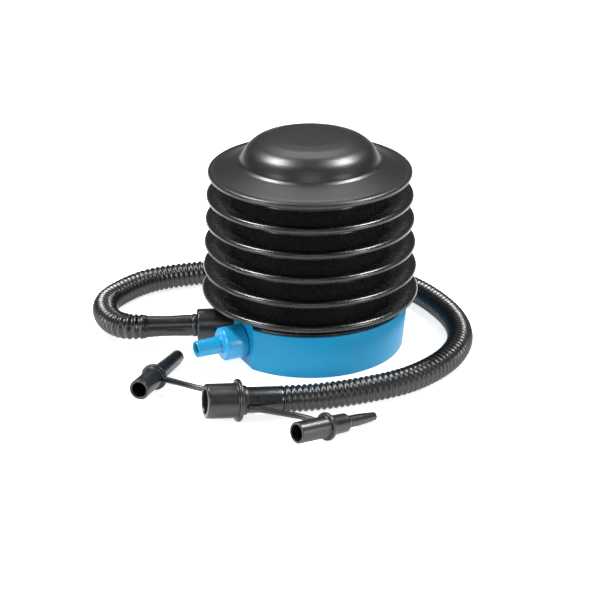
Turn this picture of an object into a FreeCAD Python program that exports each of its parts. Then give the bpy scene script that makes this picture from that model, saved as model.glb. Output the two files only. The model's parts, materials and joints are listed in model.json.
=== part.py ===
"""Foot-operated bellows air pump with an inflate port, a deflate port and a hose with two nozzles.

Millimetres, +Z up, origin at the middle of the base's underside on the bellows axis, -Y towards
the front.  Every driving size is in the spreadsheet Zs and the shapes read it from there.
"""
import FreeCAD
import Part
import Sketcher
import math
import os

doc = FreeCAD.newDocument("BellowsPump")
sheet = doc.addObject("Spreadsheet::Sheet", "Zs")

SIZES = [
    # base
    ("drum_foot_r", 91.0), ("drum_top_r", 95.0), ("drum_high", 43.5), ("wall", 3.0),
    ("deck", 4.0), ("facet_a_dist", 81.0), ("facet_b_dist", 75.1), ("facet_a_deg", 206.0),
    ("facet_b_deg", 184.0), ("facet_wall", 8.0), ("upstand_high", 5.8), ("upstand_wall", 3.5),
    ("upstand_from", 72.2), ("cover_thick", 3.0), ("cover_gap", 0.15),
    ("groove_in_r", 63.8), ("groove_out_r", 70.3), ("groove_deep", 1.6),
    ("guide_r", 22.5), ("guide_bore_r", 20.0), ("guide_high", 6.0),
    # air ducts and check valves
    ("port_axis_z", 22.0), ("port_a_side", 19.6), ("port_b_side", 11.8),
    ("duct_r", 9.5), ("duct_bore_r", 6.4), ("chamber_r", 13.5), ("chamber_bore_r", 11.0),
    ("chamber_a_in", 44.0), ("chamber_b_in", 36.0), ("chamber_floor", 5.0),
    ("seat_hole_r", 1.7), ("seat_ring_r", 5.6), ("stem_hole_r", 1.6), ("stem_r", 1.5),
    ("disc_r", 9.0), ("disc_thick", 1.4), ("disc_lift", 3.0), ("barb_r", 2.4), ("barb_high", 1.2),
    # screws
    ("boss_r", 4.5), ("boss_hole_r", 1.25), ("boss_ring_r", 78.0), ("screw_r", 1.45),
    ("head_r", 3.0), ("head_high", 1.8), ("cover_screw_long", 14.0), ("ring_screw_ring_r", 85.0),
    ("ring_screw_long", 5.6),
    # bellows
    ("clamp_in_r", 67.0), ("clamp_out_r", 93.4), ("clamp_high", 2.6), ("clamp_gap", 0.5),
    ("rim_half", 3.2), ("lip_half", 2.2), ("lip_wide", 9.5), ("ring_wide", 13.0),
    ("rim_round", 2.8), ("web_wall", 2.5), ("web_set_in", 10.0), ("valley_deep", 24.0),
    ("valley_half", 1.2), ("neck_r", 66.6), ("neck_bore_r", 64.2), ("neck_flange_r", 70.0),
    ("foot_r", 104.4), ("foot_z", 55.2), ("ring5_r", 102.8), ("ring5_z", 79.3),
    ("ring4_r", 101.4), ("ring4_z", 103.4), ("ring3_r", 100.0), ("ring3_z", 127.0),
    ("ring2_r", 98.8), ("ring2_z", 150.8), ("crown_r", 97.1), ("crown_z", 174.0),
    # crown
    ("shoulder_r", 67.5), ("shoulder_z", 185.0), ("dome_mid_r", 58.5), ("dome_mid_z", 199.5),
    ("dome_edge_r", 44.0), ("dome_edge_z", 207.0), ("dome_z", 208.4), ("crown_wall", 3.0),
    ("cup_r", 33.0), ("cup_in_r", 18.0), ("cup_thick", 1.6), ("cup_lip", 6.0),
    # return spring
    ("coil_r", 26.0), ("wire_r", 1.6), ("coil_turns", 8.0),
    # ports
    ("collar_r", 16.0), ("collar_a_long", 23.0), ("collar_b_long", 35.5), ("tube_r", 8.1),
    ("tube_a_long", 25.4), ("tube_b_long", 24.0), ("port_bore_r", 6.2), ("spigot_r", 8.6),
    ("spigot_long", 7.8), ("gasket_r", 15.8), ("gasket_thick", 0.8), ("port_round", 1.2),
    # hose and its ends
    ("hose_r", 12.5), ("hose_bore_r", 9.0), ("cuff_r", 10.4), ("cuff_bead_r", 11.3),
    ("cuff_long", 53.0), ("cuff_bore_r", 8.12), ("end_cuff_r", 11.9), ("end_cuff_long", 38.5),
    ("end_x", -26.48), ("end_y", -164.69), ("end_z", 15.7), ("end_deg", 195.2),
    ("end_lift", 5.6), ("flange_r", 19.4), ("flange_thick", 4.0), ("socket_r", 15.8),
    ("socket_bore_r", 11.2), ("socket_long", 28.3), ("tail_r", 8.95), ("tail_bore_r", 6.5),
    ("tail_long", 14.0), ("tether_r", 13.4), ("tether_wide", 5.0), ("strap_r", 2.8),
    # nozzles
    ("left_x", -145.5), ("left_y", -115.9), ("left_z", 13.0), ("left_deg", 71.5),
    ("left_dip", 5.8), ("right_x", 12.1), ("right_y", -214.1), ("right_z", 13.2),
    ("right_deg", 38.8), ("right_dip", 8.0), ("noz_flange_thick", 4.0),
    ("left_flange_r", 12.6), ("left_mouth_r", 9.5), ("left_bore_r", 7.0),
    ("left_mouth_long", 34.0), ("left_tail_r", 7.8), ("left_tip_r", 6.6),
    ("left_tail_long", 61.7), ("left_tip_bore_r", 3.6), ("right_flange_r", 12.7),
    ("right_mouth_r", 9.7), ("right_bore_r", 7.5), ("right_mouth_long", 32.1),
    ("right_step_r", 8.6), ("right_step_long", 23.9), ("right_taper_r", 5.6),
    ("right_tip_r", 3.9), ("right_taper_long", 35.5), ("right_tip_bore_r", 2.4),
]

for row, (alias, value) in enumerate(SIZES, start=1):
    sheet.set(f"A{row}", alias)
    sheet.set(f"B{row}", str(value))
    sheet.setAlias(f"B{row}", alias)
doc.recompute()

nodes = {}


def size(expression):
    """The value of an expression of sheet sizes; a bare word is one of the sheet's names."""
    return float(sheet.evalExpression(expression))


def keep(obj, node):
    obj.Label = node
    nodes[node] = obj


def origin_plane(body, role):
    return [f for f in body.Origin.OriginFeatures if f.Role == role][0]


def pin_point(sketch, line, point, expression, axis):
    """Ties one coordinate of a sketch point to an expression of the sheet's sizes."""
    value = size(expression)
    if abs(value) < 1e-9:
        target = -2 if axis == "X" else -1
        sketch.addConstraint(Sketcher.Constraint("PointOnObject", line, point, target))
        return
    index = sketch.addConstraint(
        Sketcher.Constraint("Distance" + axis, -1, 1, line, point, value))
    sketch.setExpression(f"Constraints[{index}]", sheet_names(expression))


def sheet_names(expression):
    """The same expression with every size written as a reference to the sheet."""
    out = ""
    word = ""
    for letter in expression + " ":
        if letter.isalnum() or letter == "_":
            word += letter
            continue
        if word and not word[0].isdigit() and word != "tan":
            word = "Zs." + word
        out += word + letter
        word = ""
    return out.strip()


def lathe(node, points, rounds=(), bevels=()):
    """A body turned about Z from a closed outline of (radius, height) expressions."""
    body = doc.addObject("PartDesign::Body", "Body_" + node)
    sketch = body.newObject("Sketcher::SketchObject", "Outline_" + node)
    sketch.AttachmentSupport = (origin_plane(body, "XZ_Plane"), "")
    sketch.MapMode = "FlatFace"
    spots = [FreeCAD.Vector(size(r), size(z), 0) for r, z in points]
    count = len(spots)
    for i in range(count):
        sketch.addGeometry(Part.LineSegment(spots[i], spots[(i + 1) % count]))
    for i in range(count):
        sketch.addConstraint(Sketcher.Constraint("Coincident", i, 2, (i + 1) % count, 1))
    for i, (r, z) in enumerate(points):
        pin_point(sketch, i, 1, r, "X")
        pin_point(sketch, i, 1, z, "Y")
    turned = body.newObject("PartDesign::Revolution", "Turn_" + node)
    turned.Profile = sketch
    turned.ReferenceAxis = (sketch, ["V_Axis"])
    turned.Angle = 360
    sketch.Visibility = False
    doc.recompute()
    for kind, todo in (("Fillet", rounds), ("Chamfer", bevels)):
        for number, (r, z, amount) in enumerate(todo):
            dress_edge(body, kind, f"{kind}_{number}_{node}", r, z, amount)
    keep(body, node)
    return body


def dress_edge(body, kind, name, r, z, amount):
    """Rounds or bevels the circular edge at the given radius and height."""
    base = body.Tip
    for number, edge in enumerate(base.Shape.Edges, start=1):
        if edge.Curve.TypeId != "Part::GeomCircle":
            continue
        near_r = abs(edge.Curve.Radius - size(r)) < 0.02
        near_z = abs(edge.Curve.Center.z - size(z)) < 0.02
        if near_r and near_z:
            feature = body.newObject("PartDesign::" + kind, name)
            feature.Base = (base, [f"Edge{number}"])
            prop = "Radius" if kind == "Fillet" else "Size"
            feature.setExpression(prop, sheet_names(amount))
            doc.recompute()
            return
    raise ValueError("no edge for " + name)


def facing(deg, dip=0.0):
    """A unit vector at this azimuth, dipping below the horizontal."""
    flat = math.cos(math.radians(dip))
    return FreeCAD.Vector(
        flat * math.cos(math.radians(deg)),
        flat * math.sin(math.radians(deg)),
        -math.sin(math.radians(dip)))


def aimed(point, direction):
    """A placement that turns the local Z onto a direction at a point."""
    turn = FreeCAD.Rotation(FreeCAD.Vector(0, 0, 1), direction)
    return FreeCAD.Placement(point, turn)


def primitive(kind, name, place=None, **sizes):
    obj = doc.addObject("Part::" + kind, name)
    for prop, expression in sizes.items():
        obj.setExpression(prop, sheet_names(expression))
    if place is not None:
        obj.Placement = place
    return obj


def upright(x, y, z):
    return FreeCAD.Placement(FreeCAD.Vector(x, y, z), FreeCAD.Rotation())


def fused(name, parts):
    obj = doc.addObject("Part::MultiFuse", name)
    obj.Shapes = parts
    return obj


def cut(name, base, tool):
    obj = doc.addObject("Part::Cut", name)
    obj.Base = base
    obj.Tool = tool
    return obj


def common(name, parts):
    obj = doc.addObject("Part::MultiCommon", name)
    obj.Shapes = parts
    return obj


def beyond(name, deg, distance):
    """A large block that starts at a distance from the axis, on the side of an azimuth."""
    block = primitive("Box", name, Length="200", Width="300", Height="120")
    out = facing(size(deg))
    side = FreeCAD.Vector(-out.y, out.x, 0)
    corner = out * size(distance) - side * 150 - FreeCAD.Vector(0, 0, 20)
    block.Placement = FreeCAD.Placement(corner, FreeCAD.Rotation(FreeCAD.Vector(0, 0, 1), size(deg)))
    return block


def ring_of(name, count_deg, ring_r, z, **sizes):
    """Cylinders on a circle, one at each azimuth of the list."""
    made = []
    for number, deg in enumerate(count_deg):
        spot = facing(deg) * size(ring_r)
        made.append(primitive("Cylinder", f"{name}_{number}", upright(spot.x, spot.y, size(z)),
                              **sizes))
    return made


COVER_SCREW_DEG = (142.0, 62.0, -14.0, -104.0)
RING_SCREW_DEG = (-98.0, -45.0, 8.0, 61.0, 114.0)
SEAT_HOLE_DEG = (0.0, 60.0, 120.0, 180.0, 240.0, 300.0)


def port_frame(letter):
    """The outward direction of a port and the point where its axis meets its facet."""
    out = facing(size(f"facet_{letter}_deg"))
    side = FreeCAD.Vector(-out.y, out.x, 0)
    foot = out * size(f"facet_{letter}_dist") + side * size(f"port_{letter}_side")
    foot.z = size("port_axis_z")
    return out, foot


out_a, foot_a = port_frame("a")
out_b, foot_b = port_frame("b")
chamber_a = foot_a - out_a * size("chamber_a_in")
chamber_b = foot_b - out_b * size("chamber_b_in")


def level(point, z):
    return upright(point.x, point.y, z)


# ---- base housing ----
def make_base():
    drum = primitive("Cone", "Drum", Radius1="drum_foot_r", Radius2="drum_top_r",
                     Height="drum_high")
    top = primitive("Cylinder", "UpstandDisc", upright(0, 0, size("drum_high")),
                    Radius="drum_top_r", Height="upstand_high")
    sector = beyond("UpstandSector", "(facet_a_deg + facet_b_deg) / 2", "upstand_from")
    upstand = common("UpstandSolid", [top, sector])
    outer = fused("DrumAndUpstand", [drum, upstand])
    flat_a = beyond("FacetA", "facet_a_deg", "facet_a_dist")
    flat_b = beyond("FacetB", "facet_b_deg", "facet_b_dist")
    body = cut("DrumFaceted", outer, fused("Facets", [flat_a, flat_b]))

    well = primitive("Cylinder", "UpstandWell", upright(0, 0, size("drum_high")),
                     Radius="drum_top_r - upstand_wall", Height="upstand_high + 1")
    lining = fused("UpstandLining", [
        beyond("LiningA", "facet_a_deg", "facet_a_dist - upstand_wall"),
        beyond("LiningB", "facet_b_deg", "facet_b_dist - upstand_wall")])
    body = cut("UpstandOpen", body, cut("UpstandInside", well, lining))

    room = primitive("Cone", "Room", Radius1="drum_foot_r - wall", Height="drum_high - deck",
                     Radius2="drum_top_r - wall")
    thick = fused("PortWalls", [
        beyond("PortWallA", "facet_a_deg", "facet_a_dist - facet_wall"),
        beyond("PortWallB", "facet_b_deg", "facet_b_dist - facet_wall")])
    body = cut("DrumHollow", body, cut("RoomInside", room, thick))

    solids = [body]
    bores = []
    for letter, out, foot, chamber in (("A", out_a, foot_a, chamber_a),
                                       ("B", out_b, foot_b, chamber_b)):
        reach = f"chamber_{letter.lower()}_in"
        solids.append(primitive("Cylinder", "Duct" + letter, aimed(foot - out, out * -1),
                                Radius="duct_r", Height=reach + " - 1"))
        solids.append(primitive("Cylinder", "Chamber" + letter, level(chamber, 3.2),
                                Radius="chamber_r", Height="drum_high - deck - 2.2"))
        bores.append(primitive("Cylinder", "PortHole" + letter, aimed(foot + out, out * -1),
                               Radius="spigot_r + 0.03", Height="spigot_long + 1.2"))
        bores.append(primitive("Cylinder", "DuctBore" + letter, aimed(foot, out * -1),
                               Radius="duct_bore_r", Height=reach))
        bores.append(primitive("Cylinder", "ChamberBore" + letter,
                               level(chamber, size("chamber_floor")), Radius="chamber_bore_r",
                               Height="drum_high - deck - chamber_floor"))
        bores.append(primitive("Cylinder", "StemHole" + letter, level(chamber, 35),
                               Radius="stem_hole_r", Height="20"))
        for deg in SEAT_HOLE_DEG:
            spot = chamber + facing(deg) * size("seat_ring_r")
            bores.append(primitive("Cylinder", f"SeatHole{letter}{int(deg)}", level(spot, 35),
                                   Radius="seat_hole_r", Height="20"))
    solids += ring_of("Boss", COVER_SCREW_DEG, "boss_ring_r", "3.2", Radius="boss_r",
                      Height="drum_high - deck - 2.2")
    bores += ring_of("BossHole", COVER_SCREW_DEG, "boss_ring_r", "0", Radius="boss_hole_r",
                     Height="20")
    bores += ring_of("RingScrewHole", RING_SCREW_DEG, "ring_screw_ring_r", "drum_high - 3.8",
                     Radius="screw_r - 0.2", Height="5")
    solids.append(cut("SpringGuide",
                      primitive("Cylinder", "GuideOut", upright(0, 0, size("drum_high") - 1),
                                Radius="guide_r", Height="guide_high + 1"),
                      primitive("Cylinder", "GuideIn", upright(0, 0, size("drum_high")),
                                Radius="guide_bore_r", Height="guide_high + 1")))
    bores.append(cut("Groove",
                     primitive("Cylinder", "GrooveOut",
                               upright(0, 0, size("drum_high - groove_deep")),
                               Radius="groove_out_r", Height="groove_deep + 1"),
                     primitive("Cylinder", "GrooveIn",
                               upright(0, 0, size("drum_high - groove_deep")),
                               Radius="groove_in_r", Height="groove_deep + 1")))
    keep(cut("BaseHousing", fused("HousingSolids", solids), fused("HousingBores", bores)),
         "base_housing")


def make_cover():
    plate = primitive("Cylinder", "CoverDisc", Radius="drum_foot_r - wall - cover_gap",
                      Height="cover_thick")
    trims = fused("CoverTrims", [
        beyond("CoverTrimA", "facet_a_deg", "facet_a_dist - facet_wall - cover_gap"),
        beyond("CoverTrimB", "facet_b_deg", "facet_b_dist - facet_wall - cover_gap")])
    holes = ring_of("CoverHole", COVER_SCREW_DEG, "boss_ring_r", "0", Radius="screw_r + 0.15",
                    Height="10")
    holes += ring_of("CoverSink", COVER_SCREW_DEG, "boss_ring_r", "0", Radius="head_r + 0.2",
                     Height="head_high + 0.1")
    plate = cut("CoverShaped", plate, trims)
    keep(cut("BaseCover", plate, fused("CoverHoles", holes)), "base_cover")


def make_screws(node, degs, ring_r, z_head, upward, long):
    """Pan-head screws on a circle; the head lies on the side away from the shank."""
    shank_z = f"{z_head} + 0.5" if upward else f"{z_head} + 0.5 - {long}"
    parts = ring_of("Head_" + node, degs, ring_r, z_head, Radius="head_r", Height="head_high")
    parts += ring_of("Shank_" + node, degs, ring_r, shank_z, Radius="screw_r - 0.25",
                     Height=long)
    keep(fused("Screws_" + node, parts), node)


make_base()
make_cover()
make_screws("cover_screws", COVER_SCREW_DEG, "boss_ring_r", "0.05", True, "cover_screw_long")
make_screws("clamp_screws", RING_SCREW_DEG, "ring_screw_ring_r", "drum_high + clamp_high", False,
            "ring_screw_long")

clamp = cut("ClampRing",
            primitive("Cylinder", "ClampOut", upright(0, 0, size("drum_high")),
                      Radius="clamp_out_r", Height="clamp_high"),
            fused("ClampCuts", [
                primitive("Cylinder", "ClampIn", upright(0, 0, size("drum_high") - 1),
                          Radius="clamp_in_r", Height="clamp_high + 2"),
                beyond("ClampTrimA", "facet_a_deg", "facet_a_dist - upstand_wall - clamp_gap"),
                beyond("ClampTrimB", "facet_b_deg", "facet_b_dist - upstand_wall - clamp_gap"),
            ] + ring_of("ClampHole", RING_SCREW_DEG, "ring_screw_ring_r", "drum_high - 1",
                        Radius="screw_r - 0.2", Height="10")))
keep(clamp, "bellows_clamp_ring")


# ---- bellows ----
def make_ring(node, r, z):
    lathe(node, [
        (f"{r} - ring_wide", f"{z} - lip_half"), (f"{r} - lip_wide", f"{z} - lip_half"),
        (r, f"{z} - rim_half"), (r, f"{z} + rim_half"),
        (f"{r} - lip_wide", f"{z} + lip_half"), (f"{r} - ring_wide", f"{z} + lip_half"),
    ], rounds=[(r, f"{z} - rim_half", "rim_round"), (r, f"{z} + rim_half", "rim_round")])


def make_web(node, low_r, low_z, high_r, high_z):
    """The thin fold between two rims: in to the valley and out again."""
    mid = f"({low_z} + {high_z}) / 2"
    valley = f"({low_r} + {high_r}) / 2 - valley_deep"
    lathe(node, [
        (f"{low_r} - web_set_in", f"{low_z} + lip_half"),
        (valley, f"{mid} - valley_half"), (valley, f"{mid} + valley_half"),
        (f"{high_r} - web_set_in", f"{high_z} - lip_half"),
        (f"{high_r} - web_set_in - web_wall", f"{high_z} - lip_half"),
        (f"{valley} - web_wall", f"{mid} + valley_half"),
        (f"{valley} - web_wall", f"{mid} - valley_half"),
        (f"{low_r} - web_set_in - web_wall", f"{low_z} + lip_half"),
    ])


RIMS = ["foot", "ring5", "ring4", "ring3", "ring2", "crown"]
for name in RIMS[1:5]:
    make_ring("bellows_" + name, name + "_r", name + "_z")
for low, high in zip(RIMS, RIMS[1:]):
    make_web(f"web_{low}_{high}", low + "_r", low + "_z", high + "_r", high + "_z")

lathe("bellows_foot", [
    ("neck_bore_r", "drum_high - groove_deep + 0.02"),
    ("neck_flange_r", "drum_high - groove_deep + 0.02"),
    ("neck_flange_r", "drum_high - 0.06"), ("neck_r", "drum_high - 0.06"),
    ("neck_r", "drum_high + 6.3"), ("foot_r - lip_wide", "foot_z - 2.8"),
    ("foot_r", "foot_z - rim_half"), ("foot_r", "foot_z + rim_half"),
    ("foot_r - lip_wide", "foot_z + lip_half"), ("foot_r - ring_wide", "foot_z + lip_half"),
    ("foot_r - ring_wide", "foot_z"), ("foot_r - ring_wide - 3", "foot_z - 1"),
    ("neck_bore_r", "drum_high + 8.1"),
], rounds=[("foot_r", "foot_z - rim_half", "rim_round"),
           ("foot_r", "foot_z + rim_half", "rim_round")])

lathe("crown", [
    ("crown_r - ring_wide", "crown_z - lip_half"), ("crown_r - lip_wide", "crown_z - lip_half"),
    ("crown_r", "crown_z - rim_half"), ("crown_r", "crown_z + rim_half"),
    ("crown_r - lip_wide", "crown_z + rim_half + 1.1"), ("shoulder_r", "shoulder_z"),
    ("shoulder_r - 2.6", "shoulder_z + 2.2"), ("dome_mid_r", "dome_mid_z"),
    ("dome_edge_r + 5", "dome_edge_z - 2.4"), ("dome_edge_r", "dome_edge_z"), ("0", "dome_z"),
    ("0", "dome_z - crown_wall"), ("dome_edge_r - 1", "dome_edge_z - crown_wall"),
    ("dome_mid_r - 3.6", "dome_mid_z - 2"), ("shoulder_r - 5.8", "shoulder_z"),
    ("shoulder_r - 2.4", "shoulder_z - 2.6"),
    ("crown_r - ring_wide", "crown_z + 2.6"),
], rounds=[("crown_r", "crown_z - rim_half", "rim_round"),
           ("crown_r", "crown_z + rim_half", "rim_round")])

CUP_SEAT = "dome_z - crown_wall - 0.05 - (dome_z - dome_edge_z) / (dome_edge_r - 1)"
lathe("spring_cup", [
    ("cup_in_r", "dome_z - crown_wall - cup_thick - 0.9"),
    ("cup_r - cup_thick", "dome_z - crown_wall - cup_thick - 0.9"),
    ("cup_r - cup_thick", "dome_z - crown_wall - cup_lip - 0.9"),
    ("cup_r", "dome_z - crown_wall - cup_lip - 0.9"), ("cup_r", f"{CUP_SEAT} * cup_r"),
    ("cup_in_r", f"{CUP_SEAT} * cup_in_r"),
])


def make_spring():
    """An open coil of round wire between the deck and the cup under the crown."""
    wire_r = size("wire_r")
    bottom = size("drum_high") + wire_r + 0.05
    top = size("dome_z - crown_wall - cup_thick - 0.9") - wire_r - 0.05
    turns = size("coil_turns")
    helix = Part.makeHelix((top - bottom) / turns, top - bottom, size("coil_r"))
    section = Part.Wire([Part.makeCircle(wire_r, FreeCAD.Vector(size("coil_r"), 0, 0),
                                         FreeCAD.Vector(0, 1, 0))])
    spring = doc.addObject("Part::Feature", "ReturnSpring")
    spring.Shape = helix.makePipeShell([section], True, True)
    spring.Placement = upright(0, 0, bottom)
    keep(spring, "return_spring")


make_spring()


# ---- check valves ----
def make_valve(node, chamber, direction):
    """A flat disc on its seat with a stem through the deck and a barb beyond it."""
    far = "deck + disc_lift + 0.2"
    body = lathe(node, [
        ("0", "0 - disc_thick"), ("disc_r", "0 - disc_thick"), ("disc_r", "0 - 0.02"),
        ("stem_r", "0 - 0.02"), ("stem_r", far), ("barb_r", far),
        ("barb_r", f"{far} + barb_high"), ("0", f"{far} + barb_high")])
    z = "drum_high" if direction < 0 else "drum_high - deck"
    spot = FreeCAD.Vector(chamber.x, chamber.y, size(z))
    body.Placement = aimed(spot, FreeCAD.Vector(0, 0, direction))


make_valve("inlet_valve", chamber_a, -1)
make_valve("outlet_valve", chamber_b, 1)


# ---- ports ----
def make_port(node, out, foot, collar, tube):
    """A stepped tube: spigot in the wall, collar, then the tube that takes a hose."""
    tip = f"{collar} + {tube}"
    body = lathe(node, [
        ("port_bore_r", "0 - spigot_long"), ("spigot_r", "0 - spigot_long"),
        ("spigot_r", "gasket_thick"), ("collar_r", "gasket_thick"), ("collar_r", collar),
        ("tube_r", collar), ("tube_r", tip), ("port_bore_r", tip),
    ], rounds=[("collar_r", collar, "port_round")], bevels=[("tube_r", tip, "port_round / 2")])
    body.Placement = aimed(foot, out)


make_port("inlet_port", out_a, foot_a, "collar_a_long", "tube_a_long")
make_port("outlet_port", out_b, foot_b, "collar_b_long", "tube_b_long")
for gasket_node, gasket_out, gasket_foot in (("inlet_gasket", out_a, foot_a),
                                             ("outlet_gasket", out_b, foot_b)):
    gasket = lathe(gasket_node, [
        ("spigot_r + 0.05", "0.02"), ("gasket_r", "0.02"),
        ("gasket_r", "gasket_thick - 0.02"), ("spigot_r + 0.05", "gasket_thick - 0.02")])
    gasket.Placement = aimed(gasket_foot, gasket_out)

# ---- hose ends ----
hose_start = foot_b + out_b * size("collar_b_long + cuff_long")
cuff = lathe("hose_pump_cuff", [
    ("cuff_bore_r", "0.05"), ("cuff_bead_r", "0.05"), ("cuff_bead_r", "3.5"), ("cuff_r", "4.6"),
    ("cuff_r", "cuff_long - 4"), ("hose_r - 0.6", "cuff_long - 2.4"),
    ("hose_r - 0.6", "cuff_long"), ("cuff_bore_r", "cuff_long")])
cuff.Placement = aimed(foot_b + out_b * size("collar_b_long"), out_b)

hose_end = FreeCAD.Vector(size("end_x"), size("end_y"), size("end_z"))
end_out = facing(size("end_deg"), -size("end_lift"))
end_cuff = lathe("hose_end_cuff", [
    ("hose_bore_r", "0"), ("end_cuff_r", "0"), ("end_cuff_r", "end_cuff_long"),
    ("hose_bore_r", "end_cuff_long")])
end_cuff.Placement = aimed(hose_end, end_out)
adapter = lathe("hose_adapter", [
    ("tail_bore_r", "0 - tail_long"), ("tail_r", "0 - tail_long"), ("tail_r", "0.03"),
    ("flange_r", "0.03"), ("flange_r", "flange_thick"), ("socket_r", "flange_thick"),
    ("socket_r", "flange_thick + socket_long"),
    ("socket_bore_r", "flange_thick + socket_long"), ("socket_bore_r", "flange_thick"),
    ("tail_bore_r", "flange_thick"),
], rounds=[("flange_r", "0.03", "port_round"), ("flange_r", "flange_thick", "port_round * 1.5"),
           ("socket_r", "flange_thick + socket_long", "port_round")])
adapter.Placement = aimed(hose_end + end_out * size("end_cuff_long"), end_out)
tether = lathe("tether_ring", [
    ("end_cuff_r + 0.03", "0"), ("tether_r", "0"), ("tether_r", "tether_wide"),
    ("end_cuff_r + 0.03", "tether_wide")],
    rounds=[("tether_r", "0", "port_round"), ("tether_r", "tether_wide", "port_round")])
tether.Placement = aimed(hose_end + end_out * size("end_cuff_long - tether_wide - 0.3"), end_out)

# ---- nozzles ----
left_at = FreeCAD.Vector(size("left_x"), size("left_y"), size("left_z"))
left_aim = facing(size("left_deg"), size("left_dip"))
left = lathe("nozzle_left", [
    ("left_bore_r", "0 - left_mouth_long"), ("left_mouth_r", "0 - left_mouth_long"),
    ("left_mouth_r", "0"), ("left_flange_r", "0"), ("left_flange_r", "noz_flange_thick"),
    ("left_tail_r", "noz_flange_thick"), ("left_tip_r", "left_tail_long"),
    ("left_tip_bore_r", "left_tail_long"), ("left_tip_bore_r", "0"), ("left_bore_r", "0"),
], rounds=[("left_flange_r", "0", "port_round"), ("left_tip_r", "left_tail_long", "port_round"),
           ("left_flange_r", "noz_flange_thick", "port_round")])
left.Placement = aimed(left_at, left_aim)

right_at = FreeCAD.Vector(size("right_x"), size("right_y"), size("right_z"))
right_aim = facing(size("right_deg"), size("right_dip"))
right = lathe("nozzle_right", [
    ("right_bore_r", "0 - right_mouth_long"), ("right_mouth_r", "0 - right_mouth_long"),
    ("right_mouth_r", "0"), ("right_flange_r", "0"), ("right_flange_r", "noz_flange_thick"),
    ("right_step_r", "noz_flange_thick"), ("right_step_r - 1", "right_step_long"),
    ("right_taper_r", "right_step_long + 2"),
    ("right_tip_r", "right_step_long + right_taper_long"),
    ("right_tip_bore_r", "right_step_long + right_taper_long"), ("right_tip_bore_r", "12"),
    ("right_bore_r", "0"),
], rounds=[("right_flange_r", "0", "port_round"),
           ("right_flange_r", "noz_flange_thick", "port_round")])
right.Placement = aimed(right_at, right_aim)


# ---- hose and straps ----
def rounded_path(points):
    """Straight runs joined by tangent arcs, each as large as its two runs allow."""
    edges = []
    radii = []
    begin = points[0]
    for before, corner, after in zip(points, points[1:], points[2:]):
        into = (corner - before).normalize()
        away = (after - corner).normalize()
        half = into.getAngle(away) / 2
        setback = 0.45 * min((corner - before).Length, (after - corner).Length)
        radius = setback / math.tan(half)
        start = corner - into * setback
        finish = corner + away * setback
        inward = (away - into).normalize()
        middle = corner + inward * (radius / math.cos(half) - radius)
        edges.append(Part.LineSegment(begin, start).toShape())
        edges.append(Part.Arc(start, middle, finish).toShape())
        radii.append(radius)
        begin = finish
    edges.append(Part.LineSegment(begin, points[-1]).toShape())
    return Part.Wire(edges), radii


def swept_rod(path, points, radius):
    ring = Part.Wire([Part.makeCircle(radius, points[0], points[1] - points[0])])
    return path.makePipeShell([ring], True, False)


def make_cord(node, points, outer, bore=None):
    """A plain tube along a rounded path; prints its length, its radii and its volume check."""
    path, radii = rounded_path(points)
    solid = swept_rod(path, points, size(outer))
    area = math.pi * size(outer) ** 2
    if bore:
        solid = solid.cut(swept_rod(path, points, size(bore)))
        area -= math.pi * size(bore) ** 2
    cord = doc.addObject("Part::Feature", "Cord_" + node)
    cord.Shape = solid
    keep(cord, node)
    ratio = cord.Shape.Volume / (area * path.Length)
    runs = [(b - a).Length for a, b in zip(points, points[1:])]
    print(f"{node}: length {path.Length:.1f}, volume ratio {ratio:.4f}, runs "
          + " ".join(f"{r:.0f}" for r in runs) + ", radii " + " ".join(f"{r:.0f}" for r in radii))


def vectors(rows):
    return [FreeCAD.Vector(*row) for row in rows]


HOSE_ROUTE = [
    (-179.8, -20.4, 21.4), (-188.4, -12.1, 20.3), (-195.4, 0.0, 18.9), (-200.6, 15.1, 17.3),
    (-203.6, 31.8, 15.6), (-203.9, 48.8, 14.1), (-200.2, 64.5, 13.1), (-192.0, 79.3, 12.8),
    (-181.0, 94.5, 12.8), (-165.0, 110.0, 12.8), (-142.0, 121.5, 12.8), (-108.0, 131.5, 12.8),
    (-72.0, 139.5, 12.8), (-30.0, 145.0, 12.8), (12.0, 143.0, 12.8), (52.0, 131.5, 12.8),
    (84.0, 112.5, 12.8), (108.5, 86.5, 12.8), (129.0, 52.0, 12.8), (143.5, 13.0, 12.8),
    (146.8, -28.0, 12.8), (137.0, -64.5, 12.8), (116.0, -96.5, 12.8), (88.0, -123.0, 12.8),
    (56.0, -138.5, 12.8), (24.0, -150.3, 12.8),
]
hose_points = [hose_start, hose_start + out_b * 8.0] + vectors(HOSE_ROUTE)
hose_points += [hose_end - end_out * 22.0, hose_end]
make_cord("hose", hose_points, "hose_r", "hose_bore_r")

LEFT_STRAP = [(-62.43, -161.4, 19.0), (-64.4, -154.2, 19.0), (-71.9, -149.6, 19.6),
              (-85.4, -152.7, 20.0), (-97.7, -152.4, 19.5), (-109.9, -144.1, 18.6),
              (-119.6, -135.1, 16.8), (-129.4, -125.4, 14.6), (-136.0, -118.6, 13.0)]
RIGHT_STRAP = [(-55.2, -188.1, 17.9), (-44.1, -187.2, 16.5), (-31.3, -189.7, 15.2),
               (-18.5, -192.4, 14.2), (-4.8, -197.2, 13.8), (6.9, -205.0, 13.5)]
make_cord("strap_left", vectors(LEFT_STRAP), "strap_r")
make_cord("strap_right", vectors(RIGHT_STRAP), "strap_r")

doc.recompute()
faults = []
for obj in doc.Objects:
    if "Invalid" in obj.State or "Error" in obj.State:
        faults.append(obj.Name)
for node, obj in nodes.items():
    if obj.Shape.isNull() or not obj.Shape.isValid():
        faults.append(node)
if faults:
    raise ValueError("faulty: " + ", ".join(faults))

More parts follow.
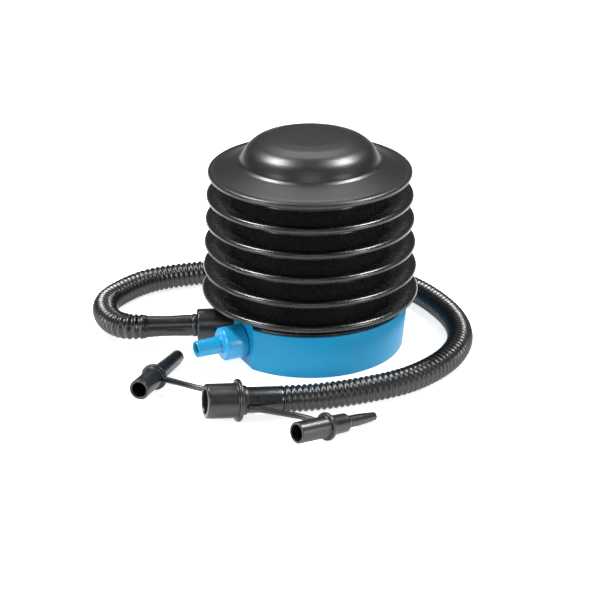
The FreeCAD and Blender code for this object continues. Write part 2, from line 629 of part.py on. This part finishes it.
os.makedirs("parts", exist_ok=True)
for node, obj in nodes.items():
    obj.Shape.exportStep(f"parts/{node}.step")
    box = obj.Shape.BoundBox
    print(f"{node}: {box.XLength:.1f} x {box.YLength:.1f} x {box.ZLength:.1f}, z {box.ZMin:.2f} to "
          f"{box.ZMax:.2f}, solids {len(obj.Shape.Solids)}, volume {obj.Shape.Volume / 1000:.1f} cm3")
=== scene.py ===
"""Looks for the bellows foot pump: camera, floor, lights, materials and the shown meshes.

Metres, in the part's own frame: +Z up, origin under the base, -Y towards the camera.
"""

import json
import math

import bmesh
import bpy
from mathutils import Matrix, Vector


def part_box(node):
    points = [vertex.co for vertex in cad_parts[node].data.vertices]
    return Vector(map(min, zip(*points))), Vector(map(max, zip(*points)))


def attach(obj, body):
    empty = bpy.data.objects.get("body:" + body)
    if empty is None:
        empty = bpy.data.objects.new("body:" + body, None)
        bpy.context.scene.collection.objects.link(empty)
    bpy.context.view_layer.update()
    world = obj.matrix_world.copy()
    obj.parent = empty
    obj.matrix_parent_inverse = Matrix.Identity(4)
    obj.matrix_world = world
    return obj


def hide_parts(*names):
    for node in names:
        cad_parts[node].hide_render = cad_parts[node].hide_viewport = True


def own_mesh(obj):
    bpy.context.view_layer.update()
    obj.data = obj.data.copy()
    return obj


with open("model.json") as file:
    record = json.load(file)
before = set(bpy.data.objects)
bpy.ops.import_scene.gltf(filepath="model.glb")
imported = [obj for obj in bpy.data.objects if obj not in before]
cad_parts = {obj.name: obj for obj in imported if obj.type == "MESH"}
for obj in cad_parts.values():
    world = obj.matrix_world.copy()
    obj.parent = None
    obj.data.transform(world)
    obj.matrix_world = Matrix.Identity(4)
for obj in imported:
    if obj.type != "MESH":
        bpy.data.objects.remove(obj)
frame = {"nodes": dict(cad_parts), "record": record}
scene = bpy.context.scene
record = frame["record"]
mounts = {m["name"]: m for m in record["mounts"]}
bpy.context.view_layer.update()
MM = 0.001

# ---------------------------------------------------------------- camera
SIGHT_DEG = 22.15
SIGHT_M = 1.90
AIM = Vector((-0.0096, 0.0, 0.110))
camera_data = bpy.data.cameras.new("Camera")
camera_data.sensor_width = 36.0
camera_data.lens = 118.75
camera = bpy.data.objects.new("Camera", camera_data)
scene.collection.objects.link(camera)
sight = math.radians(SIGHT_DEG)
camera.location = AIM + Vector((0, -math.cos(sight), math.sin(sight))) * SIGHT_M
camera.rotation_euler = (math.radians(90 - 24.08), 0, 0)
scene.camera = camera

# ---------------------------------------------------------------- cord routes
HOSE_ROUTE = [
    (-0.162378, -0.023184, 0.0220), (-0.170359, -0.023742, 0.0220),
    (-0.1798, -0.0204, 0.0214), (-0.1884, -0.0121, 0.0203), (-0.1954, 0.0, 0.0189),
    (-0.2006, 0.0151, 0.0173), (-0.2036, 0.0318, 0.0156), (-0.2039, 0.0488, 0.0141),
    (-0.2002, 0.0645, 0.0131), (-0.1920, 0.0793, 0.0128), (-0.1810, 0.0945, 0.0128),
    (-0.1650, 0.1100, 0.0128), (-0.1420, 0.1215, 0.0128), (-0.1080, 0.1315, 0.0128),
    (-0.0720, 0.1395, 0.0128), (-0.0300, 0.1450, 0.0128), (0.0120, 0.1430, 0.0128),
    (0.0520, 0.1315, 0.0128), (0.0840, 0.1125, 0.0128), (0.1085, 0.0865, 0.0128),
    (0.1290, 0.0520, 0.0128), (0.1435, 0.0130, 0.0128), (0.1468, -0.0280, 0.0128),
    (0.1370, -0.0645, 0.0128), (0.1160, -0.0965, 0.0128), (0.0880, -0.1230, 0.0128),
    (0.0560, -0.1385, 0.0128), (0.0240, -0.1503, 0.0128), (-0.005352, -0.158950, 0.013553),
    (-0.02648, -0.16469, 0.0157),
]
LEFT_STRAP = [
    (-0.06243, -0.1614, 0.0190), (-0.0644, -0.1542, 0.0190), (-0.0719, -0.1496, 0.0196),
    (-0.0854, -0.1527, 0.0200), (-0.0977, -0.1524, 0.0195), (-0.1099, -0.1441, 0.0186),
    (-0.1196, -0.1351, 0.0168), (-0.1294, -0.1254, 0.0146), (-0.1360, -0.1186, 0.0130),
]
RIGHT_STRAP = [
    (-0.0552, -0.1881, 0.0179), (-0.0441, -0.1872, 0.0165), (-0.0313, -0.1897, 0.0152),
    (-0.0185, -0.1924, 0.0142), (-0.0048, -0.1972, 0.0138), (0.0069, -0.2050, 0.0135),
]


def spline_object(name, route, bevel=0.0):
    """An open NURBS curve that runs smoothly along a route's control points."""
    curve = bpy.data.curves.new(name, "CURVE")
    curve.dimensions = "3D"
    curve.resolution_u = 24
    curve.bevel_depth = bevel
    curve.bevel_resolution = 8
    curve.use_fill_caps = bevel > 0
    spline = curve.splines.new("NURBS")
    spline.points.add(len(route) - 1)
    for point, spot in zip(spline.points, route):
        point.co = (*spot, 1.0)
    spline.order_u = 3
    spline.use_endpoint_u = True
    obj = bpy.data.objects.new(name, curve)
    scene.collection.objects.link(obj)
    return obj


def centreline(route):
    """Close points along the spline of a route."""
    guide = spline_object("guide", route)
    bpy.context.view_layer.update()
    mesh = bpy.data.meshes.new_from_object(guide.evaluated_get(
        bpy.context.evaluated_depsgraph_get()))
    points = [v.co.copy() for v in mesh.vertices]
    bpy.data.objects.remove(guide)
    return points


# ---------------------------------------------------------------- materials
def rgb(code):
    """Linear colour of an sRGB hex code."""
    parts = [int(code[i:i + 2], 16) / 255 for i in (1, 3, 5)]
    return [p / 12.92 if p <= 0.04045 else ((p + 0.055) / 1.055) ** 2.4 for p in parts] + [1.0]


def add(tree, kind, links=(), settings=(), **values):
    """Adds a shader node, sets its properties and inputs, and links sockets into it."""
    made = tree.nodes.new("ShaderNode" + kind)
    for prop, value in dict(settings).items():
        setattr(made, prop, value)
    for label, value in values.items():
        made.inputs[label.replace("_", " ")].default_value = value
    for source, socket, target in links:
        tree.links.new(source.outputs[socket], made.inputs[target])
    return made


def moulded(name, code, rough, grain_mm, grain_deep, rough_swing=0.06, lighter=1.0, shine=0.5):
    """Moulded plastic: an even colour with a faint cloud, a fine surface grain and soft gloss."""
    material = bpy.data.materials.new(name)
    material.use_nodes = True
    tree = material.node_tree
    tree.nodes.clear()
    place = add(tree, "TexCoord")
    in_mm = add(tree, "VectorMath", [(place, "Object", 0)], {"operation": "SCALE"}, Scale=1000.0)
    cloud = add(tree, "TexNoise", [(in_mm, 0, "Vector")], Scale=0.035, Detail=3.0, Roughness=0.55)
    grain = add(tree, "TexNoise", [(in_mm, 0, "Vector")], Scale=1.0 / grain_mm, Detail=2.0,
                Roughness=0.6)
    scuff = add(tree, "TexNoise", [(in_mm, 0, "Vector")], Scale=0.18, Detail=4.0, Roughness=0.6)
    dark = rgb(code)
    pale = [min(1.0, c * 1.12 * lighter) for c in dark[:3]] + [1.0]
    tint = add(tree, "ValToRGB", [(cloud, 0, "Fac")])
    tint.color_ramp.elements[0].position = 0.35
    tint.color_ramp.elements[0].color = dark
    tint.color_ramp.elements[1].position = 0.65
    tint.color_ramp.elements[1].color = pale
    gloss = add(tree, "MapRange", [(scuff, 0, "Value")], From_Min=0.3, From_Max=0.7,
                To_Min=rough - rough_swing, To_Max=rough + rough_swing)
    bump = add(tree, "Bump", [(grain, 0, "Height")], Strength=0.6, Distance=grain_deep * MM)
    shader = add(tree, "BsdfPrincipled", [(tint, 0, "Base Color"), (gloss, 0, "Roughness"),
                                          (bump, 0, "Normal")],
                 Specular_IOR_Level=shine)
    add(tree, "OutputMaterial", [(shader, 0, "Surface")])
    return material


def steel_wire(name):
    """Bright zinc-plated steel with fine drawing lines, which catch the light along the wire."""
    material = bpy.data.materials.new(name)
    material.use_nodes = True
    tree = material.node_tree
    tree.nodes.clear()
    place = add(tree, "TexCoord")
    in_mm = add(tree, "VectorMath", [(place, "Object", 0)], {"operation": "SCALE"}, Scale=1000.0)
    lines = add(tree, "TexNoise", [(in_mm, 0, "Vector")], Scale=2.0, Detail=3.0)
    gloss = add(tree, "MapRange", [(lines, 0, "Value")], To_Min=0.22, To_Max=0.42)
    bump = add(tree, "Bump", [(lines, 0, "Height")], Strength=0.3, Distance=0.01 * MM)
    shader = add(tree, "BsdfPrincipled", [(gloss, 0, "Roughness"), (bump, 0, "Normal")],
                 Base_Color=rgb("#b9bcc0"), Metallic=1.0)
    add(tree, "OutputMaterial", [(shader, 0, "Surface")])
    return material


# Blow-moulded polyethylene: satin black, its fine grain breaks the lamps' reflections up.
BELLOWS = moulded("PE blow moulded satin black", "#0c0d0f", 0.27, 1.6, 0.002, 0.02)
# The crown is the same resin with a coarser, duller grain, so its highlights are broad and soft.
CROWN = moulded("PE moulded grained black", "#0c0d0f", 0.36, 0.8, 0.035, 0.02)
# Injection-moulded polypropylene of the base: saturated blue, nearly even, soft sheen.
BASE = moulded("PP moulded satin blue", "#007ba6", 0.45, 0.5, 0.004, 0.01, lighter=0.93, shine=0.25)
# The blue port is a glossier moulding of the same colour, a little paler.
PORT_BLUE = moulded("PP moulded gloss blue", "#1688b6", 0.30, 0.6, 0.001, 0.005, lighter=0.93)
# Black ports, adapter and nozzles: injection-moulded polyethylene with a dull gloss.
PORT_BLACK = moulded("PE moulded dull black", "#101113", 0.34, 0.6, 0.01)
# Hose: soft PVC, smoother and glossier, each rib carries a thin bright line.
HOSE = moulded("PVC flexible gloss black", "#0b0c0e", 0.30, 1.6, 0.002, 0.02)
# Smooth hose cuffs of the same PVC, slightly duller from handling.
CUFF = moulded("PVC cuff satin black", "#0f1012", 0.30, 0.8, 0.01)
COVER = moulded("PP moulded matt black cover", "#1c1c1f", 0.5, 0.5, 0.02)
SEAL = moulded("EPDM seal rubber", "#0d0d0e", 0.6, 0.3, 0.01)
STEEL = steel_wire("Zinc plated steel")


# ---------------------------------------------------------------- meshes
def rounded(points, steps=5):
    """Turns an outline of (x, y) or (x, y, radius) points into one with its corners rounded."""
    out = []
    count = len(points)
    for i, point in enumerate(points):
        here = Vector(point[:2])
        radius = point[2] if len(point) > 2 else 0.0
        before = Vector(points[i - 1][:2]) - here
        after = Vector(points[(i + 1) % count][:2]) - here
        if radius <= 0 or before.length < 1e-9 or after.length < 1e-9:
            out.append(here)
            continue
        half = before.angle(after) / 2
        if half > math.pi / 2 - 0.01:
            out.append(here)
            continue
        reach = min(radius / math.tan(half), before.length * 0.49, after.length * 0.49)
        radius = reach * math.tan(half)
        middle = here + (before.normalized() + after.normalized()).normalized() * (
            radius / math.sin(half))
        start = here + before.normalized() * reach - middle
        sweep = start.angle_signed(here + after.normalized() * reach - middle)
        for k in range(steps + 1):
            turn = Matrix.Rotation(-sweep * k / steps, 2)
            out.append(middle + turn @ start)
    return out


def new_object(name, bm, material, smooth_deg=40.0):
    """An object from a finished bmesh, smooth except over edges sharper than the limit."""
    bmesh.ops.recalc_face_normals(bm, faces=bm.faces)
    for edge in bm.edges:
        if len(edge.link_faces) == 2:
            edge.smooth = edge.calc_face_angle(0.0) < math.radians(smooth_deg)
    for face in bm.faces:
        face.smooth = True
    mesh = bpy.data.meshes.new(name)
    bm.to_mesh(mesh)
    bm.free()
    mesh.materials.append(material)
    obj = bpy.data.objects.new(name, mesh)
    scene.collection.objects.link(obj)
    return obj


def turned(name, outline, material, segments=144, place=Matrix.Identity(4), smooth_deg=40.0):
    """A closed outline of (radius, height) in millimetres turned about its Z axis."""
    bm = bmesh.new()
    rings = []
    for r, z in outline:
        if r < 1e-4:
            rings.append([bm.verts.new((0, 0, z * MM))])
            continue
        rings.append([bm.verts.new((r * MM * math.cos(a), r * MM * math.sin(a), z * MM))
                      for a in (2 * math.pi * k / segments for k in range(segments))])
    for one, two in zip(rings, rings[1:] + rings[:1]):
        if len(one) == 1 and len(two) == 1:
            continue
        for k in range(segments):
            n = (k + 1) % segments
            corners = [one[k % len(one)], one[n % len(one)], two[n % len(two)], two[k % len(two)]]
            bm.faces.new(list(dict.fromkeys(corners)))
    obj = new_object(name, bm, material, smooth_deg)
    obj.matrix_world = place
    return obj


def facing(point, direction):
    """A matrix that carries the local Z axis onto a direction, with its origin at a point."""
    turn = Vector(direction).to_track_quat("Z", "Y").to_matrix().to_4x4()
    return Matrix.Translation(point) @ turn


def mounted(name, back_mm=0.0):
    """The mount's point moved back along its axis, and the axis."""
    axis = Vector(mounts[name]["axis"]).normalized()
    return Vector(mounts[name]["pos_m"]) - axis * back_mm * MM, axis


def settle(obj, body, slot, *nodes):
    """Ties a shown piece to its moving body and hides the CAD nodes it replaces; the slot argument
    is not used.
    """
    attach(obj, body)
    if nodes:
        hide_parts(*nodes)
    return obj


def ring_size(node):
    """Outer radius and middle height of a CAD ring, in millimetres."""
    low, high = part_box(node)
    return high[0] / MM, (low[2] + high[2]) / 2 / MM


# ---- bellows rims ----
def rim_outline(r, z):
    """One fold's rim: a round bead with a shallow gutter behind it and a thin web root."""
    return rounded([
        (r - 13.0, z - 1.6), (r - 9.6, z - 1.9, 2.0), (r - 6.5, z - 2.9, 3.0),
        (r, z - 3.25, 3.15), (r, z + 3.25, 3.15), (r - 6.5, z + 2.7, 3.0),
        (r - 9.6, z + 2.0, 1.5), (r - 13.0, z + 2.4),
    ], 8)


def web_outline(low_r, low_z, high_r, high_z):
    """The thin fold between two rims, drawn in to its valley."""
    valley = (low_r + high_r) / 2 - 24.0
    mid = (low_z + high_z) / 2
    return rounded([
        (low_r - 10.2, low_z + 2.05), (valley, mid - 1.2, 2.0), (valley, mid + 1.2, 2.0),
        (high_r - 10.2, high_z - 2.0), (high_r - 12.6, high_z - 2.0),
        (valley - 2.4, mid + 1.2, 2.0), (valley - 2.4, mid - 1.2, 2.0),
        (low_r - 12.6, low_z + 2.05),
    ], 4)


CROWN_R, CROWN_Z = 97.1, 174.0
FOOT_R, FOOT_Z = 104.4, 55.2
rims = {"foot": (FOOT_R, FOOT_Z)}
for name in ("ring5", "ring4", "ring3", "ring2"):
    rims[name] = ring_size("bellows_" + name)
    r, z = rims[name]
    rim = turned("rim_" + name, rim_outline(r, z), BELLOWS, 192)
    settle(rim, name, "bellows_black", "bellows_" + name)
rims["crown"] = (CROWN_R, CROWN_Z)

ORDER = ["foot", "ring5", "ring4", "ring3", "ring2", "crown"]
for low, high in zip(ORDER, ORDER[1:]):
    (low_r, low_z), (high_r, high_z) = rims[low], rims[high]
    fold = turned(f"fold_{low}_{high}", web_outline(low_r, low_z, high_r, high_z), BELLOWS, 192)
    settle(fold, "base" if low == "foot" else low, "bellows_black", f"web_{low}_{high}")
    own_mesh(fold)

foot = turned("bellows_foot_fold", rounded([
    (64.2, 41.92), (70.0, 41.92), (70.0, 43.44), (66.6, 43.44, 0.5), (66.6, 49.9, 1.0),
    (FOOT_R - 9.6, FOOT_Z - 2.7, 2.0), (FOOT_R, FOOT_Z - 3.25, 3.15),
    (FOOT_R, FOOT_Z + 3.25, 3.15), (FOOT_R - 6.5, FOOT_Z + 2.7, 3.0),
    (FOOT_R - 9.6, FOOT_Z + 2.0, 1.5), (FOOT_R - 13.0, FOOT_Z + 2.4),
    (FOOT_R - 13.0, FOOT_Z), (64.2, 51.6, 1.0),
], 8), BELLOWS, 192)
settle(foot, "base", "bellows_black", "bellows_foot")

# ---- crown ----
crown = turned("crown_dome", rounded([
    (CROWN_R - 13.0, CROWN_Z - 1.9), (CROWN_R - 9.6, CROWN_Z - 1.9, 2.0),
    (CROWN_R - 6.5, CROWN_Z - 2.9, 3.0), (CROWN_R, CROWN_Z - 3.25, 3.15),
    (CROWN_R, CROWN_Z + 3.25, 3.15), (CROWN_R - 6.0, CROWN_Z + 2.9, 3.0),
    (CROWN_R - 9.8, CROWN_Z + 4.0, 2.5), (68.8, 184.2, 4.0), (66.2, 186.4, 4.0),
    (64.0, 191.4, 20.0), (59.8, 198.2, 20.0), (52.2, 203.8, 20.0), (41.0, 207.0, 30.0),
    (27.0, 208.2, 40.0),
    (0, 208.4), (0, 205.4), (43.0, 204.2), (54.4, 197.0, 5.0), (61.2, 185.5, 2.0),
    (64.6, 182.9, 2.0),
    (CROWN_R - 13.0, CROWN_Z + 2.5),
], 8), CROWN, 256)
settle(crown, "crown", "bellows_black", "crown")

# ---- base ----
FACETS = ((206.0, 81.0), (184.0, 75.1))
RAISED_FROM = 74.4
DECK = 43.5
MID_FACET = math.radians(195.0)


def plan_radius(angle, circle, soft):
    """Distance from the axis to the wall: a circle with two flats, its corners eased."""
    reach = [circle]
    for deg, far in FACETS:
        slant = math.cos(angle - math.radians(deg))
        reach.append((far + circle - 91.0) / slant if slant > 0.2 else 1e3)
    least = min(reach)
    return least - soft * math.log(sum(math.exp(-(v - least) / soft) for v in reach))


def step_up(angle):
    """How far the rim is raised here: fully over the flats, and not at all round the circle."""
    out = 95.0 * math.cos(angle - MID_FACET)
    share = min(1.0, max(0.0, (out - RAISED_FROM + 2.8) / 5.6))
    return share * share * (3 - 2 * share)


def base_stations(angle):
    """The wall's section at one azimuth as (radius, height): outside, rim, inside."""
    top = DECK + 5.8 * step_up(angle)
    foot_r = plan_radius(angle, 91.0, 0.35)
    top_r = min(plan_radius(angle, 91.0, 1.2) + 4.0 * (1 - step_up(angle)), 95.0)
    top_r = max(top_r, foot_r)
    inner = top_r - 3.4
    return [
        (foot_r - 3.0, 3.12), (foot_r - 3.0, 0.0), (foot_r - 0.5, 0.0), (foot_r - 0.12, 0.14),
        (foot_r, 0.5), (foot_r + (top_r - foot_r) * 0.25, top * 0.25),
        (foot_r + (top_r - foot_r) * 0.6, top * 0.6), (top_r - 0.03, top - 1.4),
        (top_r - 0.15, top - 0.6), (top_r - 0.5, top - 0.15), (top_r - 1.0, top),
        (inner + 0.4, top), (inner, top - 0.4), (inner, DECK), (63.0, DECK), (0.0, DECK),
    ]


def make_base():
    """The blue shell: one column of the wall's section at every half degree."""
    steps = 720
    bm = bmesh.new()
    columns = []
    for k in range(steps):
        angle = 2 * math.pi * k / steps
        columns.append([bm.verts.new((r * MM * math.cos(angle), r * MM * math.sin(angle), z * MM))
                        for r, z in base_stations(angle)[:-1]])
    deck = bm.verts.new((0, 0, DECK * MM))
    floor_mid = bm.verts.new((0, 0, 3.12 * MM))
    for k in range(steps):
        one, two = columns[k], columns[(k + 1) % steps]
        for i in range(len(one) - 1):
            bm.faces.new((one[i], two[i], two[i + 1], one[i + 1]))
        bm.faces.new((one[-1], two[-1], deck))
        bm.faces.new((one[0], floor_mid, two[0]))
    return new_object("base_shell", bm, BASE, 30.0)


settle(make_base(), "base", "base_blue", "base_housing")


# ---- ports ----
def port_outline(collar, tube):
    """Spigot, stepped collar with a rounded front, then the thin tube with its open bore."""
    tip = collar + tube
    return rounded([
        (6.2, -7.8), (8.6, -7.8), (8.6, 0.8), (16.0, 0.8, 0.5), (16.0, collar - 1.6, 1.6),
        (14.6, collar - 0.2, 0.8), (9.4, collar, 0.6), (8.7, collar + 0.9, 0.8),
        (8.35, collar + 3.0), (8.1, tip, 0.55), (6.2, tip, 0.45), (6.2, 2.0),
    ], 6)


tube_mid, port_out = mounted("inlet_tube")
inlet_foot = tube_mid - port_out * 35.4 * MM
inlet = turned("port_deflate", port_outline(23.0, 25.4), PORT_BLUE, 128,
               facing(inlet_foot, port_out))
settle(inlet, "base", "port_blue", "inlet_port")

hose_start = Vector(HOSE_ROUTE[0])
hose_out = (Vector(HOSE_ROUTE[1]) - hose_start).normalized()
outlet_foot = hose_start - hose_out * 88.5 * MM
outlet = turned("port_inflate", port_outline(35.5, 24.0), PORT_BLACK, 128,
                facing(outlet_foot, hose_out))
settle(outlet, "base", "port_black", "outlet_port")

# ---- hose ends ----
pump_cuff = turned("cuff_pump_end", rounded([
    (8.12, 0.05), (11.2, 0.05, 1.0), (11.2, 3.2, 1.2), (10.3, 4.4, 0.8), (10.5, 8.0, 4.0),
    (10.0, 22.0, 14.0), (10.0, 34.0, 14.0), (10.5, 47.0, 4.0), (11.4, 49.5, 1.2),
    (11.8, 51.0, 1.0), (11.8, 53.0, 0.5), (8.12, 53.0),
], 6), CUFF, 112, facing(hose_start - hose_out * 53.0 * MM, hose_out))
settle(pump_cuff, "base", "hose_black", "hose_pump_cuff")

hose_end = Vector(HOSE_ROUTE[-1])
end_out = mounted("hose_socket")[1]
end_cuff = turned("cuff_far_end", rounded([
    (9.0, 0.0), (11.6, 0.0, 0.8), (11.9, 2.0, 1.0), (11.9, 38.5, 0.6), (9.0, 38.5),
], 6), CUFF, 112, facing(hose_end, end_out))
settle(end_cuff, "base", "hose_black", "hose_end_cuff")
adapter = turned("adapter_socket", rounded([
    (6.5, -14.0), (8.95, -14.0), (8.95, 0.03), (19.4, 0.03, 1.6), (19.4, 4.0, 1.6),
    (15.9, 4.1, 1.0), (15.8, 31.3, 1.6), (14.6, 32.3, 0.6), (11.6, 32.3, 0.5), (11.2, 31.5, 0.4),
    (11.2, 4.4), (6.5, 4.0),
], 6), PORT_BLACK, 128, facing(hose_end + end_out * 38.5 * MM, end_out))
settle(adapter, "base", "port_black", "hose_adapter")
tether = turned("tether_band", rounded([
    (11.93, 0.0), (13.4, 0.0, 1.0), (13.4, 5.0, 1.0), (11.93, 5.0),
], 6), PORT_BLACK, 112, facing(hose_end + end_out * 33.2 * MM, end_out))
settle(tether, "base", "port_black", "tether_ring")

# ---- nozzles ----
left_mouth, left_back = mounted("nozzle_left_mouth")
left = turned("nozzle_plain", rounded([
    (7.0, -34.0, 0.5), (9.5, -34.0, 0.8), (9.5, 0.0, 1.0), (12.6, 0.0, 1.4), (12.6, 4.0, 1.4),
    (8.6, 4.2, 1.0), (7.8, 6.5, 1.0), (6.6, 61.7, 2.0), (3.6, 61.7, 0.6), (3.6, 0.0), (7.0, 0.0),
], 6), PORT_BLACK, 96, facing(left_mouth - left_back * 17.0 * MM, -left_back))
settle(left, "base", "port_black", "nozzle_left")

right_mouth, right_back = mounted("nozzle_right_mouth")
right = turned("nozzle_tapered", rounded([
    (7.5, -32.1, 0.5), (9.7, -32.1, 0.9), (9.7, 0.0, 1.0), (12.7, 0.0, 1.4), (12.7, 4.0, 1.4),
    (9.0, 4.2, 1.0), (8.5, 23.4, 1.4), (7.6, 24.9, 1.0), (5.7, 26.4, 1.0), (5.4, 40.0, 2.0),
    (3.9, 58.4, 0.8), (2.4, 59.4, 0.5), (2.4, 12.0), (7.5, 0.0),
], 6), PORT_BLACK, 96, facing(right_mouth - right_back * 16.05 * MM, -right_back))
settle(right, "base", "port_black", "nozzle_right")


# ---- corrugated hose ----
def hose_radius(along, total):
    """Radius in millimetres: evenly pitched round ribs with narrow grooves between them."""
    pitch = total / round(total / 5.6)
    wave = 0.5 + 0.5 * math.cos(2 * math.pi * (along / pitch))
    return 10.9 + 1.6 * wave


def joined_rings(rings):
    """A closed tube of faces through rings of vertices."""
    around = len(rings[0])
    faces = []
    for one, two in zip(rings, rings[1:]):
        for k in range(around):
            n = (k + 1) % around
            faces.append((one[k], one[n], two[n], two[k]))
    return faces + [rings[0], rings[-1]]


def make_hose():
    """The hose: even ribs along its spline, with the points of its middle line and its length."""
    raw = centreline(HOSE_ROUTE)
    spots = [raw[0]]
    gone = [0.0]
    for before, after in zip(raw, raw[1:]):
        step = (after - before).length
        if step > 1e-7:
            spots.append(after)
            gone.append(gone[-1] + step)
    total = gone[-1]
    count = int(total / (0.4 * MM))
    ring_points = []
    j = 0
    for i in range(count + 1):
        target = total * i / count
        while j < len(gone) - 2 and gone[j + 1] < target:
            j += 1
        share = (target - gone[j]) / (gone[j + 1] - gone[j])
        ring_points.append(spots[j].lerp(spots[j + 1], share))
    bm = bmesh.new()
    side = Vector((0, 0, 1))
    rings = []
    around = 48
    for i, spot in enumerate(ring_points):
        ahead = ring_points[min(i + 1, count)] - ring_points[max(i - 1, 0)]
        ahead.normalize()
        side = (side - ahead * side.dot(ahead)).normalized()
        other = ahead.cross(side)
        r = hose_radius(total * i / count / MM, total / MM) * MM
        rings.append([bm.verts.new(spot + (side * math.cos(a) + other * math.sin(a)) * r)
                      for a in (2 * math.pi * k / around for k in range(around))])
    for corners in joined_rings(rings):
        bm.faces.new(corners)
    return new_object("hose_corrugated", bm, HOSE, 70.0), ring_points, total


hose, hose_line, hose_long = make_hose()
settle(hose, "base", "hose_black", "hose")

for name, route, nozzle, node in (("strap_to_plain", LEFT_STRAP, left, "strap_left"),
                                  ("strap_to_tapered", RIGHT_STRAP, right, "strap_right")):
    strap = spline_object(name, route, 2.8 * MM)
    strap.data.materials.append(PORT_BLACK)
    settle(strap, "base", "port_black", node)
    runs = centreline(route)


# ---- return spring ----
def make_coil():
    """The return spring: round wire on an even helix."""
    low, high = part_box("return_spring")
    bm = bmesh.new()
    turns, per_turn, around = 8.0, 48, 12
    bottom, top = low[2] + 1.7 * MM, high[2] - 1.7 * MM
    rings = []
    for i in range(int(turns * per_turn) + 1):
        angle = 2 * math.pi * i / per_turn
        z = bottom + (top - bottom) * i / (turns * per_turn)
        out = Vector((math.cos(angle), math.sin(angle), 0))
        rings.append([bm.verts.new(Vector((0, 0, z)) + out * 26 * MM + (
            out * math.cos(a) + Vector((0, 0, 1)) * math.sin(a)) * 1.6 * MM)
            for a in (2 * math.pi * k / around for k in range(around))])
    for corners in joined_rings(rings):
        bm.faces.new(corners)
    return new_object("return_coil", bm, STEEL, 60.0), bottom, top


coil, coil_low, coil_high = make_coil()
settle(coil, "base", "steel", "return_spring")
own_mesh(coil)

# ---- CAD nodes shown as they are ----
FINISH = {"base_cover": COVER, "cover_screws": STEEL, "clamp_screws": STEEL,
          "bellows_clamp_ring": BELLOWS, "inlet_gasket": SEAL, "outlet_gasket": SEAL,
          "spring_cup": COVER, "inlet_valve": SEAL, "outlet_valve": SEAL}
for name, material in FINISH.items():
    node = frame["nodes"][name]
    node.data.materials.clear()
    node.data.materials.append(material)

# ---------------------------------------------------------------- floor and light
def plain(name, colour, rough):
    """An even surface of one colour."""
    material = bpy.data.materials.new(name)
    material.use_nodes = True
    shader = material.node_tree.nodes["Principled BSDF"]
    shader.inputs["Base Color"].default_value = colour
    shader.inputs["Roughness"].default_value = rough
    return material


floor_mesh = bmesh.new()
bmesh.ops.create_grid(floor_mesh, x_segments=1, y_segments=1, size=6.0)
paper = plain("white paper sweep", rgb("#d0d0d0"), 0.9)
paper.node_tree.nodes["Principled BSDF"].inputs["Emission Color"].default_value = rgb("#ffffff")
paper.node_tree.nodes["Principled BSDF"].inputs["Emission Strength"].default_value = 0.78
floor = new_object("floor", floor_mesh, paper)

world = bpy.data.worlds.new("Studio")
world.use_nodes = True
world.node_tree.nodes["Background"].inputs["Color"].default_value = rgb("#ffffff")
world.node_tree.nodes["Background"].inputs["Strength"].default_value = 0.12
scene.world = world


def lamp(name, at, towards, size, power):
    """A rectangular softbox at a point, turned towards another."""
    data = bpy.data.lights.new(name, "AREA")
    data.shape = "RECTANGLE"
    data.size, data.size_y = size
    data.energy = power
    obj = bpy.data.objects.new(name, data)
    obj.location = at
    obj.rotation_euler = (Vector(towards) - Vector(at)).to_track_quat("-Z", "Y").to_euler()
    scene.collection.objects.link(obj)
    return obj


lamp("key_left", (-0.85, 0.15, 1.45), (0, 0, 0.12), (0.4, 0.4), 40.0)
lamp("key_right", (0.85, 0.15, 1.45), (0, 0, 0.12), (0.4, 0.4), 40.0)
lamp("back", (0, 1.0, 1.4), (0, 0, 0.15), (0.8, 0.6), 6.0)
lamp("strip_left", (-1.35, -0.95, 0.42), (0, 0, 0.15), (0.3, 0.5), 13.0)
lamp("strip_right", (1.35, -0.95, 0.42), (0, 0, 0.15), (0.3, 0.5), 13.0)
lamp("fill", (0, -2.2, 1.5), (0, 0, 0.1), (1.4, 0.9), 12.0)
scene.view_settings.view_transform = "Standard"
